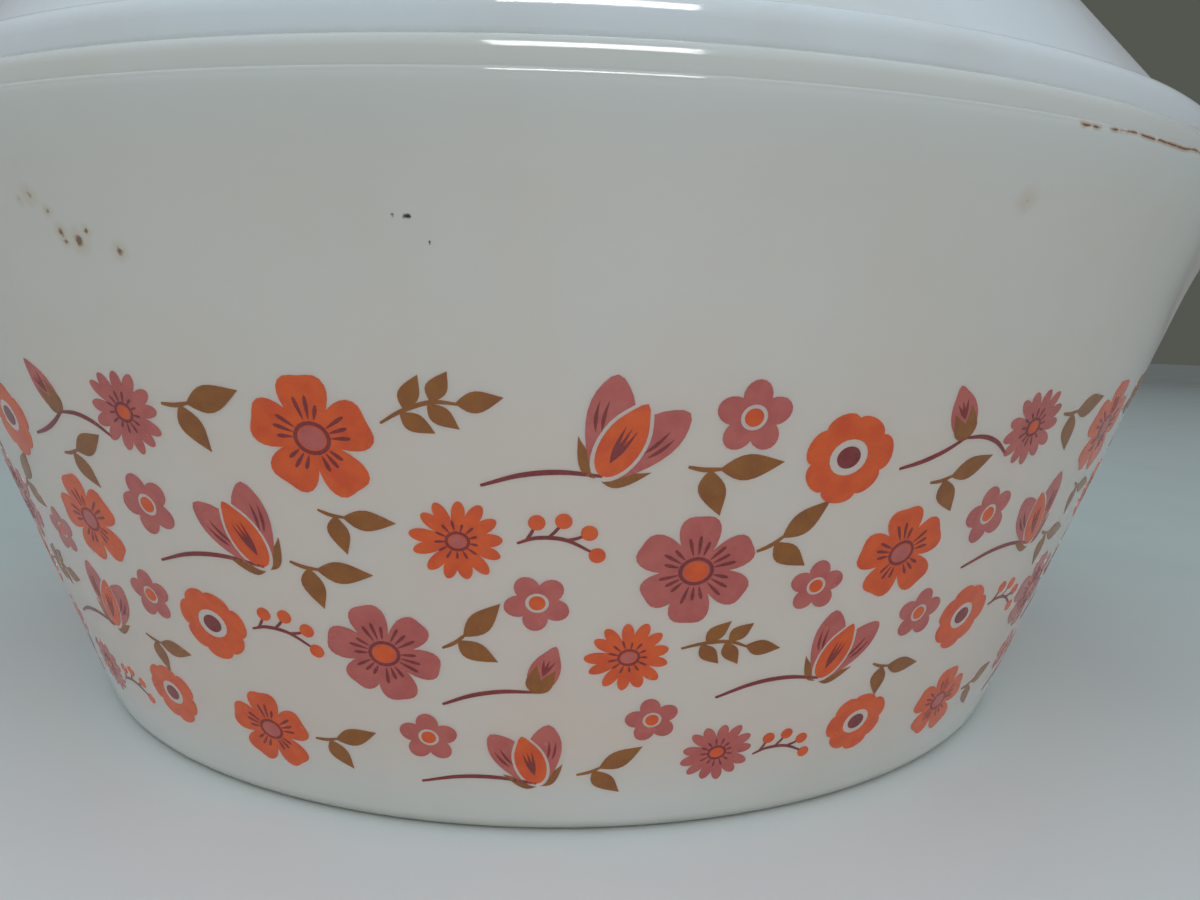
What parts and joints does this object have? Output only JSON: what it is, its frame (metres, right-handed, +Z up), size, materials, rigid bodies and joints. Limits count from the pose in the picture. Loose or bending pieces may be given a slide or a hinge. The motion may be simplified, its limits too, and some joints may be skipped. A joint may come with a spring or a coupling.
{
  "type": "covered casserole dish",
  "caption": "Round white opal-glass casserole dish with flaring sides, a flat tab handle on each side and a lift-off lid with matching tabs.",
  "frame": {"origin": "on the dish's axis, at the plane of the table that it stands on", "axes": "+Z up, out of the dish's opening; +X along the two tab handles"},
  "size_m": [0.2776, 0.2374, 0.122],
  "materials": {
    "dish_glass": "gloss",
    "lid_glass": "gloss"
  },
  "bodies": {
    "dish": {"dish": "dish_glass"},
    "lid": {"lid": "lid_glass"}
  },
  "joints": [
    {"name": "lid_lift", "type": "slide", "parent": "dish", "child": "lid", "axis": [0, 0, 1], "range_m": [0, 0.15]}
  ]
}
